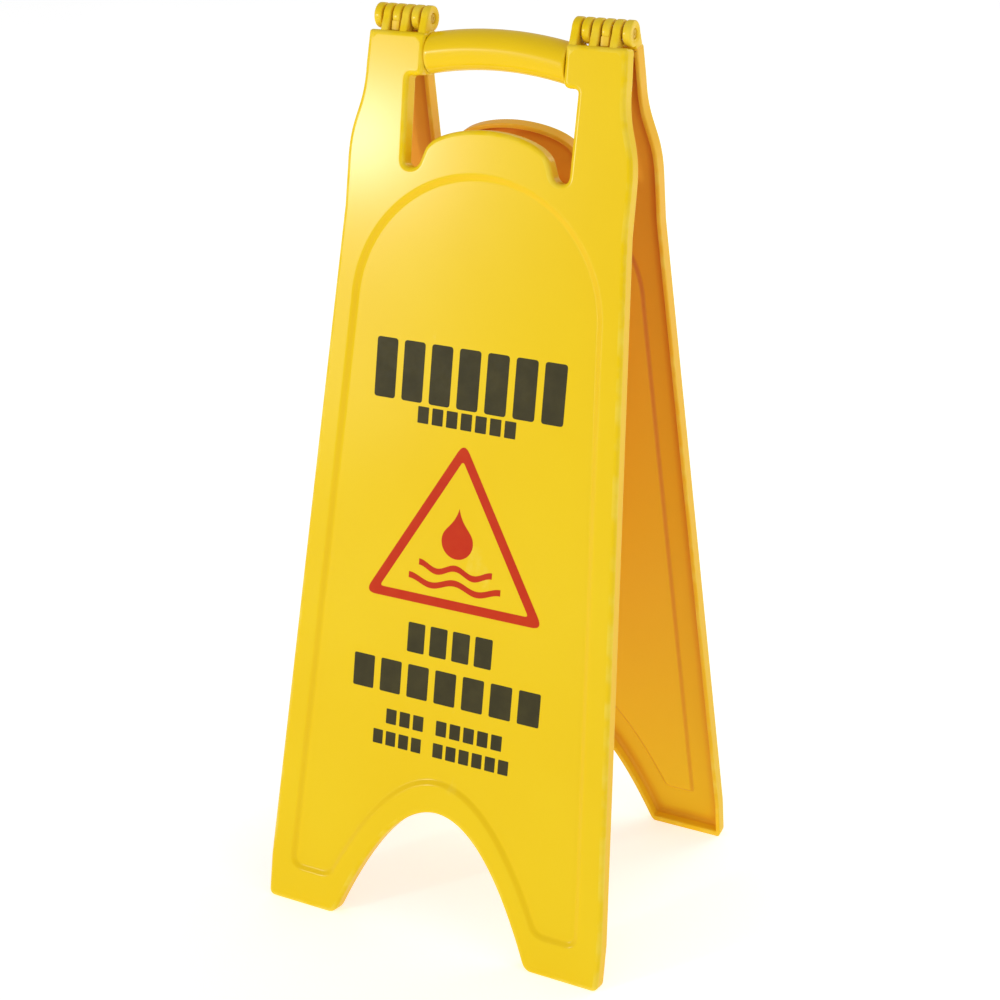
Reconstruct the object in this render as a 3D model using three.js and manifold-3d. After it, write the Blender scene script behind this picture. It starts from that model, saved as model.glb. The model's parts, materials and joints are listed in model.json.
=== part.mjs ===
// Folding two-panel floor sign with a carrying grip, standing open.
// Millimetres, +Z up. X runs across the panels, the front panel is on the -Y side,
// and the origin is on the floor, midway between the feet.

import * as THREE from 'three';
import { mergeVertices } from 'three/addons/utils/BufferGeometryUtils.js';
import Module from 'manifold-3d';

const wasm = await Module();
wasm.setup();

// ---- Driving dimensions -------------------------------------------------

// Whole sign
const PANEL_LENGTH = 610; // floor to hinge axis, measured along a panel's outer face
const OPEN_LEAN = THREE.MathUtils.degToRad(9.75); // lean of each panel when the sign is open
const FACE_OFFSET = 12; // hinge plane to a panel's outer face
const RIM_OFFSET = 0.8; // hinge plane to a panel's rim, so that closed panels stay clear
const WALL = 3; // moulded wall
const GAP = 0.3; // clearance between pieces that touch

// Panel outline, in panel coordinates: x across, z up from the foot
const FOOT_HALF = 127.6; // half width at the floor
const FOOT_STRAIGHT = 30; // the sides start to taper above this
const SHOULDER_HALF = 99.6; // half width where the taper ends
const SHOULDER_LOW = 489;
const SHOULDER_BEND = 518; // the shoulder curves in from here
const POST_HALF = 90.2; // half width above the shoulder
const POST_LOW = 580;
const POST_BEND = 549; // level of the shoulder curve's control points
const POST_TOP = 601;
const POST_TOP_HALF = 89.2;
const CORNER = 5; // rounding of the foot corners
const FOOT_WALL = 6; // solid height at the foot, so that its floor face is whole

// Leg arch: a parabola from foot to foot
const LEG_ARCH_HALF = 74;
const LEG_ARCH_TOP = 92.5;

// Hand window: between the posts, above the panel's arched top edge
const WINDOW_HALF_LOW = 58.1;
const WINDOW_HALF_TOP = 59;
const TOP_EDGE = 545; // apex of the arched top edge
const TOP_EDGE_FLAT = 17; // the arched edge leaves its apex level towards this x
const TOP_EDGE_BEND = 40; // and bends over towards this x and level
const TOP_EDGE_SHOULDER = 540;
const FLANK_X = 43.8; // its straight flank starts here
const FLANK_LEVEL = 529;
const NOTCH_X = 46.2; // the notch beside the post rounds off from here
const NOTCH_LEVEL = 522.5;
const NOTCH_MIDDLE = 53;
const NOTCH_FLOOR = 517.4;

// Recessed notice field
const FIELD_DEPTH = 2;
const FIELD_TOP_RADIUS = 87.5;
const FIELD_TOP_CENTRE = 428.5;
const FIELD_FOOT_HALF = 109.3;
const FIELD_BOTTOM = 27;
const FIELD_CORNER = 8;
const FIELD_LEG_HALF = 79.6;
const FIELD_LEG_TOP = 114.4;
const FIELD_STEP_WALL = 2; // width of the raised step behind the recess

// Hinge combs: six interleaved fingers on each post, the outermost on the rear panel
const COMB_INNER = 49.5;
const COMB_OUTER = 88.5;
const FINGERS = 6;
const FINGER_GAP = 1.4;
const BARREL_RADIUS = 8;
const NECK_OUTER = 10.2; // hinge plane to the outer side of a finger's neck
const PIN_RADIUS = 3;
const PIN_END_GAP = 0.5; // the pin ends this far inside the comb
const HEEL_FINGER = 3; // rear finger, counted from the inside, that carries the stop heel
const HEEL_NEAR = 2.5; // hinge plane to the heel's near side
const HEEL_FAR = 8;

// Carrying grip, a bowed hollow bar between two bosses on the front panel
const BOSS_FACE = 48.8; // half distance between the boss faces
const BOSS_BACK = 55.2; // the boss ends here beside the first rear finger
const BOSS_RADIUS = 13.7;
const BOSS_FOOT = 574.7; // level of the boss's underside
const BOSS_FILLET = 3; // between the underside and the post
const BOSS_CORNER = 5; // below the boss face
const GRIP_RADIUS = 12.7;
const GRIP_WALL = 2.6;
const GRIP_END_LEVEL = 589; // grip centre at the bosses
const GRIP_BOW = 5; // rise of the grip's centre at mid span
const GRIP_TRIM = 5; // length cut off each end, square to the boss faces
const SEAM = 0.15; // half the gap between the two grip shells
const STUB_RADIUS = 9.6;
const STUB_LENGTH = 13;

// Screws that hold the two grip shells together
const SCREW_X = 24;
const SCREW_RADIUS = 1.8;
const SCREW_TIP = -8.2; // y of the tip
const HEAD_SEAT = 7.4; // y of the counterbore's floor
const HEAD_RADIUS = 3.8;
const HEAD_HEIGHT = 2.6;
const COUNTERBORE_RADIUS = 4.5;
const REAR_POST_RADIUS = 6.2;
const FRONT_POST_RADIUS = 4.6;
const POST_REACH = 11.2; // the screw posts end this far from the seam, inside the grip's wall
const RECESS_WIDTH = 0.9; // cross recess in the screw head
const RECESS_LENGTH = 4.4;
const RECESS_DEPTH = 1.3;

// Resolution
const CURVE_STEPS = 10;
const ROUND_STEPS = 28;
const GRIP_STEPS = 12; // along the grip
const GRIP_ARC_STEPS = 8; // around a quarter of the grip
const STUB_STEPS = 3;

// Worked out from the dimensions above
const HINGE_HEIGHT = PANEL_LENGTH * Math.cos(OPEN_LEAN) - FACE_OFFSET * Math.sin(OPEN_LEAN);
const FINGER_PITCH = (COMB_OUTER - COMB_INNER + FINGER_GAP) / FINGERS;
const FINGER_WIDTH = FINGER_PITCH - FINGER_GAP;

// ---- Solids and geometry --------------------------------------------------

function toSolid(geometry) {
  const bare = geometry.clone();
  bare.deleteAttribute('normal');
  bare.deleteAttribute('uv');
  const merged = mergeVertices(bare, 1e-4);
  const mesh = new wasm.Mesh({
    numProp: 3,
    vertProperties: new Float32Array(merged.attributes.position.array),
    triVerts: new Uint32Array(merged.index.array),
  });
  return new wasm.Manifold(mesh);
}

function toGeometry(solid) {
  const mesh = solid.getMesh();
  const geometry = new THREE.BufferGeometry();
  geometry.setAttribute('position', new THREE.BufferAttribute(mesh.vertProperties, 3));
  geometry.setIndex(new THREE.BufferAttribute(mesh.triVerts, 1));
  geometry.computeVertexNormals();
  return geometry;
}

// An outline in x and z, filled from y = inner outwards to y = outer (outer < inner).
function slab(outline, inner, outer) {
  const options = { depth: inner - outer, bevelEnabled: false };
  const geometry = new THREE.ExtrudeGeometry(new THREE.Shape(outline), options);
  geometry.rotateX(Math.PI / 2);
  geometry.translate(0, inner, 0);
  return toSolid(geometry);
}

// A profile in y and z, filled from x = from to x = to.
function sideSlab(profile, from, to) {
  const options = { depth: to - from, bevelEnabled: false };
  const geometry = new THREE.ExtrudeGeometry(new THREE.Shape(profile), options);
  const turn = new THREE.Matrix4().makeBasis(
    new THREE.Vector3(0, 1, 0),
    new THREE.Vector3(0, 0, 1),
    new THREE.Vector3(1, 0, 0),
  );
  geometry.applyMatrix4(turn);
  geometry.translate(from, 0, 0);
  return toSolid(geometry);
}

function block(x0, x1, y0, y1, z0, z1) {
  const geometry = new THREE.BoxGeometry(x1 - x0, y1 - y0, z1 - z0);
  geometry.translate((x0 + x1) / 2, (y0 + y1) / 2, (z0 + z1) / 2);
  return toSolid(geometry);
}

// A round bar along x.
function barX(radius, x0, x1, y, z) {
  const geometry = new THREE.CylinderGeometry(radius, radius, x1 - x0, ROUND_STEPS);
  geometry.rotateZ(Math.PI / 2);
  geometry.translate((x0 + x1) / 2, y, z);
  return toSolid(geometry);
}

// A round bar along y.
function barY(radius, y0, y1, x, z) {
  const geometry = new THREE.CylinderGeometry(radius, radius, y1 - y0, ROUND_STEPS);
  geometry.translate(x, (y0 + y1) / 2, z);
  return toSolid(geometry);
}

// ---- Outlines -------------------------------------------------------------

// Completes a symmetric outline from its right half, which runs from the upper
// crossing of the centre line clockwise to the lower crossing.
function mirrored(half) {
  const left = half
    .slice(1, -1)
    .reverse()
    .map((p) => new THREE.Vector2(-p.x, p.y));
  return [...half, ...left];
}

// Moves a clockwise outline inwards by a distance (outwards if negative).
function inset(outline, distance) {
  const count = outline.length;
  return outline.map((point, i) => {
    const before = outline[(i + count - 1) % count];
    const after = outline[(i + 1) % count];
    const a = point.clone().sub(before).normalize();
    const b = after.clone().sub(point).normalize();
    const normalA = new THREE.Vector2(a.y, -a.x);
    const normalB = new THREE.Vector2(b.y, -b.x);
    const middle = normalA.clone().add(normalB).normalize();
    return point.clone().addScaledVector(middle, distance / middle.dot(normalA));
  });
}

// The panel's outline, with or without the handle bosses beside the posts.
function panelOutline(withBosses) {
  const flankSlope = (NOTCH_X - FLANK_X) / (FLANK_LEVEL - NOTCH_LEVEL);
  const notchCorner = NOTCH_X + flankSlope * (NOTCH_LEVEL - NOTCH_FLOOR);
  const half = new THREE.Path();
  half.moveTo(0, TOP_EDGE);
  half.bezierCurveTo(TOP_EDGE_FLAT, TOP_EDGE, TOP_EDGE_BEND, TOP_EDGE_SHOULDER, FLANK_X, FLANK_LEVEL);
  half.lineTo(NOTCH_X, NOTCH_LEVEL);
  half.quadraticCurveTo(notchCorner, NOTCH_FLOOR, NOTCH_MIDDLE, NOTCH_FLOOR);
  half.quadraticCurveTo(WINDOW_HALF_LOW, NOTCH_FLOOR, WINDOW_HALF_LOW, NOTCH_LEVEL);
  if (withBosses) {
    half.lineTo(WINDOW_HALF_TOP, BOSS_FOOT - BOSS_FILLET);
    half.quadraticCurveTo(WINDOW_HALF_TOP, BOSS_FOOT, WINDOW_HALF_TOP - BOSS_FILLET, BOSS_FOOT);
    half.lineTo(BOSS_FACE + BOSS_CORNER, BOSS_FOOT);
    half.quadraticCurveTo(BOSS_FACE, BOSS_FOOT, BOSS_FACE, BOSS_FOOT + BOSS_CORNER);
    half.lineTo(BOSS_FACE, POST_TOP);
  } else {
    half.lineTo(WINDOW_HALF_TOP, POST_TOP);
  }
  half.lineTo(POST_TOP_HALF, POST_TOP);
  half.lineTo(POST_HALF, POST_LOW);
  half.bezierCurveTo(POST_HALF, POST_BEND, SHOULDER_HALF, POST_BEND, SHOULDER_HALF, SHOULDER_BEND);
  half.lineTo(SHOULDER_HALF, SHOULDER_LOW);
  half.lineTo(FOOT_HALF, FOOT_STRAIGHT);
  half.lineTo(FOOT_HALF, CORNER);
  half.quadraticCurveTo(FOOT_HALF, 0, FOOT_HALF - CORNER, 0);
  half.lineTo(LEG_ARCH_HALF + CORNER, 0);
  const archFoot = LEG_ARCH_HALF - CORNER / 2;
  half.quadraticCurveTo(LEG_ARCH_HALF, 0, archFoot, LEG_ARCH_TOP * (1 - (archFoot / LEG_ARCH_HALF) ** 2));
  half.quadraticCurveTo(archFoot / 2, LEG_ARCH_TOP, 0, LEG_ARCH_TOP);
  return mirrored(half.getPoints(CURVE_STEPS));
}

// The notice field: a half round top, tapered sides and a parabola above the leg arch.
function fieldOutline() {
  const legX = FIELD_LEG_HALF - FIELD_CORNER / 3;
  const legZ = FIELD_LEG_TOP - (FIELD_LEG_TOP - FIELD_BOTTOM) * (legX / FIELD_LEG_HALF) ** 2;
  const half = new THREE.Path();
  half.absarc(0, FIELD_TOP_CENTRE, FIELD_TOP_RADIUS, Math.PI / 2, 0, true);
  half.lineTo(FIELD_FOOT_HALF, FIELD_BOTTOM + FIELD_CORNER);
  half.quadraticCurveTo(FIELD_FOOT_HALF, FIELD_BOTTOM, FIELD_FOOT_HALF - FIELD_CORNER, FIELD_BOTTOM);
  half.lineTo(FIELD_LEG_HALF + FIELD_CORNER, FIELD_BOTTOM);
  half.quadraticCurveTo(FIELD_LEG_HALF, FIELD_BOTTOM, legX, legZ);
  half.quadraticCurveTo(legX / 2, FIELD_LEG_TOP, 0, FIELD_LEG_TOP);
  return mirrored(half.getPoints(CURVE_STEPS));
}

// ---- Panel bodies ---------------------------------------------------------

// A panel's shell: a tray, open on its inner side, with a stepped field.
function tray(outline) {
  const field = fieldOutline();
  const floorOfPocket = -FACE_OFFSET + WALL;
  const footBlock = block(-FOOT_HALF, FOOT_HALF, floorOfPocket - 1, 0, 0, FOOT_WALL);
  const pocket = slab(inset(outline, WALL), 0, floorOfPocket).subtract(footBlock);
  const step = slab(inset(field, -FIELD_STEP_WALL), floorOfPocket + FIELD_DEPTH, floorOfPocket - 1);
  const recess = slab(field, -FACE_OFFSET + FIELD_DEPTH, -FACE_OFFSET - 1);
  return slab(outline, -RIM_OFFSET, -FACE_OFFSET).subtract(pocket).add(step).subtract(recess);
}

// Features that come in pairs are made by a function of side: 1 for +x and -1 for -x.
function bothSides(make) {
  return make(1).add(make(-1));
}

// The x range of a feature that lies from a to b on the +x side, or of its mirror image.
function xRange(side, a, b) {
  return side > 0 ? [a, b] : [-b, -a];
}

// One hinge finger: a round barrel on the hinge axis and a neck down to the post top.
function finger(side, number) {
  const start = COMB_INNER + number * FINGER_PITCH;
  const [x0, x1] = xRange(side, start, start + FINGER_WIDTH);
  const neck = [
    new THREE.Vector2(-NECK_OUTER, POST_TOP - 1),
    new THREE.Vector2(-RIM_OFFSET, POST_TOP - 1),
    new THREE.Vector2(-RIM_OFFSET, PANEL_LENGTH),
    new THREE.Vector2(-BARREL_RADIUS, PANEL_LENGTH),
  ];
  return sideSlab(neck, x0, x1).add(barX(BARREL_RADIUS, x0, x1, 0, PANEL_LENGTH));
}

// Every second finger of a comb, starting from a finger number counted from the inside.
function comb(side, first) {
  const numbers = Array.from({ length: FINGERS / 2 }, (_, i) => first + 2 * i);
  return numbers.map((number) => finger(side, number)).reduce((joined, next) => joined.add(next));
}

function pinBore(side) {
  const [x0, x1] = xRange(side, COMB_INNER - 1, COMB_OUTER + 1);
  return barX(PIN_RADIUS + GAP, x0, x1, 0, PANEL_LENGTH);
}

// Cuts the feet level with the floor of the open sign.
function trimFeet(solid) {
  const below = new THREE.BoxGeometry(4 * FOOT_HALF, 4 * FOOT_HALF, PANEL_LENGTH);
  below.translate(0, 0, -PANEL_LENGTH / 2 - HINGE_HEIGHT);
  below.rotateX(OPEN_LEAN);
  below.translate(0, 0, PANEL_LENGTH);
  return solid.subtract(toSolid(below));
}

// ---- Carrying grip --------------------------------------------------------

// The grip's centre line between two x positions: a shallow parabola.
class GripLine extends THREE.Curve {
  constructor(from, to) {
    super();
    this.from = from;
    this.to = to;
  }

  getPoint(t, target = new THREE.Vector3()) {
    const x = this.from + (this.to - this.from) * t;
    return target.set(x, 0, gripLevel(x));
  }
}

function gripLevel(x) {
  return GRIP_END_LEVEL + GRIP_BOW * (1 - (x / BOSS_FACE) ** 2);
}

// Sweeps a section along the grip's centre line. The section's +x side faces -y.
function sweepGrip(section, from, to, steps) {
  const options = { steps, extrudePath: new GripLine(from, to), curveSegments: GRIP_ARC_STEPS };
  return toSolid(new THREE.ExtrudeGeometry(section, options));
}

function stub(side) {
  const circle = new THREE.Shape();
  circle.absarc(0, 0, STUB_RADIUS, 0, 2 * Math.PI, false);
  const [x0, x1] = xRange(side, BOSS_FACE - STUB_LENGTH, BOSS_FACE + 1);
  return sweepGrip(circle, x0, x1, STUB_STEPS);
}

// The round collar that backs each boss, flush with the panel's face, and its stub.
function boss(side) {
  const collar = barX(BOSS_RADIUS, ...xRange(side, BOSS_FACE, BOSS_BACK), 0, GRIP_END_LEVEL);
  const ahead = block(-FOOT_HALF, FOOT_HALF, -2 * BOSS_RADIUS, -FACE_OFFSET, 0, PANEL_LENGTH);
  return collar.subtract(ahead).add(stub(side));
}

// A hollow half tube. side is 1 for the half towards -y and -1 for the half towards +y.
function halfTube(side) {
  const outer = Math.acos(SEAM / GRIP_RADIUS);
  const inner = Math.acos(SEAM / (GRIP_RADIUS - GRIP_WALL));
  const turn = side > 0 ? 0 : Math.PI;
  const section = new THREE.Shape();
  section.absarc(0, 0, GRIP_RADIUS, turn - outer, turn + outer, false);
  section.absarc(0, 0, GRIP_RADIUS - GRIP_WALL, turn + inner, turn - inner, true);
  section.closePath();
  const reach = BOSS_FACE + GRIP_TRIM;
  const end = BOSS_FACE - GAP;
  const betweenBosses = block(-end, end, -GRIP_RADIUS, GRIP_RADIUS, 0, PANEL_LENGTH + GRIP_RADIUS);
  return sweepGrip(section, -reach, reach, GRIP_STEPS).intersect(betweenBosses);
}

function frontShell() {
  const z = gripLevel(SCREW_X);
  const post = (side) => barY(FRONT_POST_RADIUS, -POST_REACH, -SEAM, side * SCREW_X, z);
  const hole = (side) => barY(SCREW_RADIUS + GAP, SCREW_TIP - 1, 1, side * SCREW_X, z);
  return halfTube(1).add(bothSides(post)).subtract(bothSides(hole));
}

function rearShell() {
  const z = gripLevel(SCREW_X);
  const post = (side) => barY(REAR_POST_RADIUS, SEAM, POST_REACH, side * SCREW_X, z);
  const hole = (side) => barY(SCREW_RADIUS + GAP, -1, GRIP_RADIUS, side * SCREW_X, z);
  const counterbore = (side) => barY(COUNTERBORE_RADIUS, HEAD_SEAT, GRIP_RADIUS + 1, side * SCREW_X, z);
  const solid = halfTube(-1).add(bothSides(post));
  return solid.subtract(bothSides(hole)).subtract(bothSides(counterbore));
}

// A pan head screw along y, with its head towards +y and a cross recess in the head.
function screw() {
  const seat = HEAD_SEAT + GAP;
  const top = seat + HEAD_HEIGHT;
  const profile = new THREE.Path();
  profile.moveTo(0, SCREW_TIP);
  profile.lineTo(SCREW_RADIUS, SCREW_TIP + SCREW_RADIUS);
  profile.lineTo(SCREW_RADIUS, seat);
  profile.lineTo(HEAD_RADIUS, seat);
  profile.lineTo(HEAD_RADIUS, seat + HEAD_HEIGHT / 3);
  profile.quadraticCurveTo(HEAD_RADIUS, top, HEAD_RADIUS / 2, top);
  profile.lineTo(0, top);
  const body = toSolid(new THREE.LatheGeometry(profile.getPoints(4), ROUND_STEPS));
  const halfWidth = RECESS_WIDTH / 2;
  const halfLength = RECESS_LENGTH / 2;
  const floor = top - RECESS_DEPTH;
  const across = block(-halfLength, halfLength, floor, top + 1, -halfWidth, halfWidth);
  const along = block(-halfWidth, halfWidth, floor, top + 1, -halfLength, halfLength);
  return body.subtract(across.add(along));
}

function hingePin() {
  const length = COMB_OUTER - COMB_INNER - 2 * PIN_END_GAP;
  return barX(PIN_RADIUS, -length / 2, length / 2, 0, 0);
}

// ---- Materials ------------------------------------------------------------

function yellowPlastic() {
  return new THREE.MeshStandardMaterial({ color: 0xf2cb18, roughness: 0.42, metalness: 0 });
}

function pinPlastic() {
  return new THREE.MeshStandardMaterial({ color: 0xd9ac14, roughness: 0.5, metalness: 0 });
}

function zincSteel() {
  return new THREE.MeshStandardMaterial({ color: 0xb9bcc0, roughness: 0.35, metalness: 1 });
}

function addPiece(group, name, solid, material) {
  const mesh = new THREE.Mesh(toGeometry(solid), material);
  mesh.name = name;
  group.add(mesh);
  return mesh;
}

// ---- Assembly -------------------------------------------------------------

// A panel group has its origin at the foot of the closed panel and leans about the hinge axis.
function leaningPanel(turn) {
  const panel = new THREE.Group();
  panel.position.z = -PANEL_LENGTH;
  const lean = new THREE.Group();
  lean.rotation.x = -OPEN_LEAN;
  lean.add(panel);
  const side = new THREE.Group();
  side.rotation.z = turn;
  side.position.z = HINGE_HEIGHT;
  side.add(lean);
  return { side, panel };
}

function buildFront() {
  const { side, panel } = leaningPanel(0);
  const ear = (side) => comb(side, 0).add(boss(side)).subtract(pinBore(side));
  const solid = tray(panelOutline(true)).add(bothSides(ear));
  addPiece(panel, 'front_panel', trimFeet(solid), yellowPlastic());
  addPiece(panel, 'handle_front_shell', frontShell(), yellowPlastic());
  addPiece(panel, 'handle_rear_shell', rearShell(), yellowPlastic());
  for (const [hand, sign] of [['left', -1], ['right', 1]]) {
    const handleScrew = addPiece(panel, `handle_screw_${hand}`, screw(), zincSteel());
    handleScrew.position.set(sign * SCREW_X, 0, gripLevel(SCREW_X));
    const pin = addPiece(panel, `hinge_pin_${hand}`, hingePin(), pinPlastic());
    pin.position.set((sign * (COMB_INNER + COMB_OUTER)) / 2, 0, PANEL_LENGTH);
  }
  return side;
}

// A point drawn in the front panel's y and z, as the rear panel sees it when the sign is open.
function seenFromRear(y, z) {
  const above = z - PANEL_LENGTH;
  const fold = 2 * OPEN_LEAN;
  const inward = -y * Math.cos(fold) - above * Math.sin(fold);
  return new THREE.Vector2(inward, PANEL_LENGTH + above * Math.cos(fold) - y * Math.sin(fold));
}

// The heel on one rear finger that meets the front post's top and stops the opening.
function stopHeel(side) {
  const start = COMB_INNER + HEEL_FINGER * FINGER_PITCH;
  const profile = [
    seenFromRear(-HEEL_FAR, POST_TOP + GAP),
    seenFromRear(-HEEL_NEAR, POST_TOP + GAP),
    seenFromRear(-HEEL_NEAR, PANEL_LENGTH - PIN_RADIUS - WALL),
    seenFromRear(-HEEL_FAR, PANEL_LENGTH - PIN_RADIUS),
  ];
  return sideSlab(profile, ...xRange(side, start, start + FINGER_WIDTH));
}

function buildRear() {
  const { side, panel } = leaningPanel(Math.PI);
  const ear = (hand) => comb(hand, 1).add(stopHeel(hand)).subtract(pinBore(hand));
  const solid = tray(panelOutline(false)).add(bothSides(ear));
  addPiece(panel, 'rear_panel', trimFeet(solid), yellowPlastic());
  return side;
}

const sign = new THREE.Group();
sign.add(buildFront(), buildRear());

export default sign;
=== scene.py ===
import json
import math

import bmesh
import bpy
import numpy as np
from mathutils import Matrix, Vector
from mathutils.geometry import delaunay_2d_cdt


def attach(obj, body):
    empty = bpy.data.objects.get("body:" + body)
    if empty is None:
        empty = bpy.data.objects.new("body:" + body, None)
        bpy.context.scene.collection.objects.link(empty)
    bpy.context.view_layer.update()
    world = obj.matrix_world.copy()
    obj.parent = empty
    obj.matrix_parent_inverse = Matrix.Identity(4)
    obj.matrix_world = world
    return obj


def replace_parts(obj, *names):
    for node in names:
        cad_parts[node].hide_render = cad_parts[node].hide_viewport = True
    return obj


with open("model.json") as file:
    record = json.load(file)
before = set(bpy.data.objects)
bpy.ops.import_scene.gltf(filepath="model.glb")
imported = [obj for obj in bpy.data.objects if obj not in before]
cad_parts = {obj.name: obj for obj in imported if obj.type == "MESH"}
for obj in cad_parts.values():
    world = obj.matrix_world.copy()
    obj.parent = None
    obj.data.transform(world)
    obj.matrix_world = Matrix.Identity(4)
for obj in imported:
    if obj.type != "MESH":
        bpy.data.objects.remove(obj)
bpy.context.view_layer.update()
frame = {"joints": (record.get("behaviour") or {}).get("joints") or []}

# The folding floor sign, in moulded yellow plastic. Shapes are drawn in millimetres, in the
# coordinates of an upright panel: x across, y through it with the outer side negative, and
# z up from its foot. The panels have the same shape but for their hinge fingers, the front
# one's bosses and the rear one's stop heels.

# ---- Dimensions of the frame, in millimetres --------------------------------

MM = 0.001
PANEL_LENGTH = 610
OPEN_LEAN = math.radians(9.75)
FACE_OFFSET = 12
RIM_OFFSET = 0.8
WALL = 3
GAP = 0.3

FOOT_HALF = 127.6
FOOT_STRAIGHT = 30
SHOULDER_HALF = 99.6
SHOULDER_LOW = 489
SHOULDER_BEND = 518
POST_HALF = 90.2
POST_LOW = 580
POST_BEND = 549
POST_TOP = 601
POST_TOP_HALF = 89.2
CORNER = 5
FOOT_WALL = 6

LEG_ARCH_HALF = 74
LEG_ARCH_TOP = 92.5

WINDOW_HALF_LOW = 58.1
WINDOW_HALF_TOP = 59
TOP_EDGE = 545
TOP_EDGE_FLAT = 17
TOP_EDGE_BEND = 40
TOP_EDGE_SHOULDER = 540
FLANK_X = 43.8
FLANK_LEVEL = 529
NOTCH_X = 46.2
NOTCH_LEVEL = 522.5
NOTCH_MIDDLE = 53
NOTCH_FLOOR = 517.4

FIELD_DEPTH = 2
FIELD_TOP_RADIUS = 87.5
FIELD_TOP_CENTRE = 428.5
FIELD_FOOT_HALF = 109.3
FIELD_BOTTOM = 27
FIELD_CORNER = 8
FIELD_LEG_HALF = 79.6
FIELD_LEG_TOP = 114.4
FIELD_BEHIND = 5.5  # how much further in the step lies on the hollow side

COMB_INNER = 49.5
COMB_OUTER = 88.5
FINGERS = 6
FINGER_GAP = 1.4
FINGER_PITCH = (COMB_OUTER - COMB_INNER + FINGER_GAP) / FINGERS
FINGER_WIDTH = FINGER_PITCH - FINGER_GAP
BARREL_RADIUS = 8
NECK_OUTER = 10.2
PIN_RADIUS = 3
PIN_END_GAP = 0.5
HEEL_FINGER = 3
HEEL_NEAR = 2.5
HEEL_FAR = 8

BOSS_FACE = 48.8
BOSS_BACK = 55.2
BOSS_RADIUS = 13.7
BOSS_FOOT = 574.7
BOSS_FILLET = 3
BOSS_CORNER = 5
GRIP_RADIUS = 12.7
GRIP_WALL = 2.6
GRIP_END_LEVEL = 589
GRIP_BOW = 5
GRIP_END = BOSS_FACE - GAP
SEAM = 0.15
STUB_RADIUS = 9.6
STUB_LENGTH = 13

SCREW_X = 24
SCREW_RADIUS = 1.8
SCREW_TIP = -8.2
HEAD_SEAT = 7.4
HEAD_RADIUS = 3.8
HEAD_HEIGHT = 2.6
COUNTERBORE_RADIUS = 4.5
RECESS_WIDTH = 0.9
RECESS_LENGTH = 4.4
RECESS_DEPTH = 1.3

# ---- Finer detail of the moulding -------------------------------------------

FACE_EDGE = 2.8  # radius of the rolled edge round the outer face
RIM_EDGE = 0.9
FOOT_BLEND = 1  # the inner wall turns this softly above the solid foot
FLOOR_FILLET = 2.2
TOP_CORNER = 2.5  # rounding of the posts' top corners
FIELD_SPREAD = 4.8  # the field's step slopes over this width on the outer face
BEHIND_SPREAD = 3.2  # and over this width on the hollow side
SUPPORT = 0.5  # width of the flat strips that keep the flat faces flat
FINGER_EDGE = 1.1
BORE_EDGE = 0.4
BOSS_SETBACK = 0.1  # the bosses' collars stop this far behind the rolled edge
GRIP_EDGE = 0.6
COUNTERBORE_EDGE = 0.5
THREADS = 11
THREAD_START = 1.6  # from the screw's tip to its first thread
THREAD_CORE = 0.8  # of the screw's radius

LINE_STEP = 4  # distance between points along straight sides
CURVE_STEP = 2.2  # and along curves
ARC_STEPS = 6  # around the larger rolled edges
SMALL_ARC_STEPS = 4  # around the smaller ones
STEP_STEPS = 10  # across the field's step
BARREL_STEPS = 44
BOSS_STEPS = 64
SCREW_STEPS = 48

# Depth tells the material how much painted shade a point gets, inside the hollow, in its corners
# and creases and on the flanges: see Shape.
FIELD_STEP_SHADE = 0.2  # painted shade along the middle of the outer step
CORNER_SHADE = 6  # width of the painted shade along the foot of the inner wall
FINGER_SHADE = 0.2  # painted shade on the fingers' sides, which face each other, and in their bores
# painted shade on the stop heels
HEEL_SHADE = 0.3
FRONT_FLANGE_SHADE = (0.95, 0)  # painted shade of the flanges at the foot and at the top
REAR_FLANGE_SHADE = (0.9, 0.7)

# ---- Print, the same on both outer faces --------------------------------------

INK_LIFT = 0.08  # thickness of the ink
BLOCK_GAP = 0.24  # gap between blocks, as a share of their pitch
WORD_GAP = 0.7  # extra gap between groups of blocks, as a share of the pitch
# Each row: centre x, half width, lower and upper level, and how many blocks each group has.
ROWS = (
    (-0.5, 68.5, 368, 407.5, (7,)),
    (0, 35.6, 355, 366, (7,)),
    (0, 31.5, 200.5, 221, (4,)),
    (-1, 70, 169, 192, (7,)),
    (0, 43.7, 147, 157.5, (3, 5)),
    (-1.5, 51.3, 131.5, 141.5, (4, 6)),
)
TRIANGLE_TOP = 347.7
TRIANGLE_BASE = 235
TRIANGLE_HALF = 66.5
TRIANGLE_BAND = 6.4
TRIANGLE_CORNER = 5
DROP_CENTRE = (0, 281)
DROP_HEIGHT = 34
DROP_STEPS = 14
RIPPLES = ((261, 27), (251, 34))  # level and half width
RIPPLE_BAND = 4.2
RIPPLE_SWING = 2.2


# ---- Outlines -----------------------------------------------------------------


def unit(vectors):
    return vectors / np.maximum(np.linalg.norm(vectors, axis=-1, keepdims=True), 1e-12)


def along_bezier(controls, count):
    """count points along a Bezier curve of any order, without its first point."""
    t = np.linspace(0, 1, count + 1)[1:, None]
    layer = [np.array(p, float) for p in controls]
    while len(layer) > 1:
        layer = [a * (1 - t) + b * t for a, b in zip(layer, layer[1:])]
    return layer[0]


class Outline:
    """The right half of a symmetric outline, drawn clockwise from the centre line."""

    def __init__(self, x, z):
        self.points = [np.array((x, z), float)]

    def to(self, *controls):
        """A line to one point, or a Bezier curve through control points to the last."""
        start = self.points[-1]
        chain = np.array([start, *controls], float)
        length = np.linalg.norm(np.diff(chain, axis=0), axis=1).sum()
        if len(controls) == 1:
            count = max(1, round(length / LINE_STEP))
        else:
            count = max(8, round(length / CURVE_STEP))
        self.points.extend(along_bezier(chain, count))
        return self

    def mirrored(self):
        right = np.array(self.points)
        left = right[-2:0:-1] * (-1, 1)
        return np.vstack([right, left])


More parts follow.
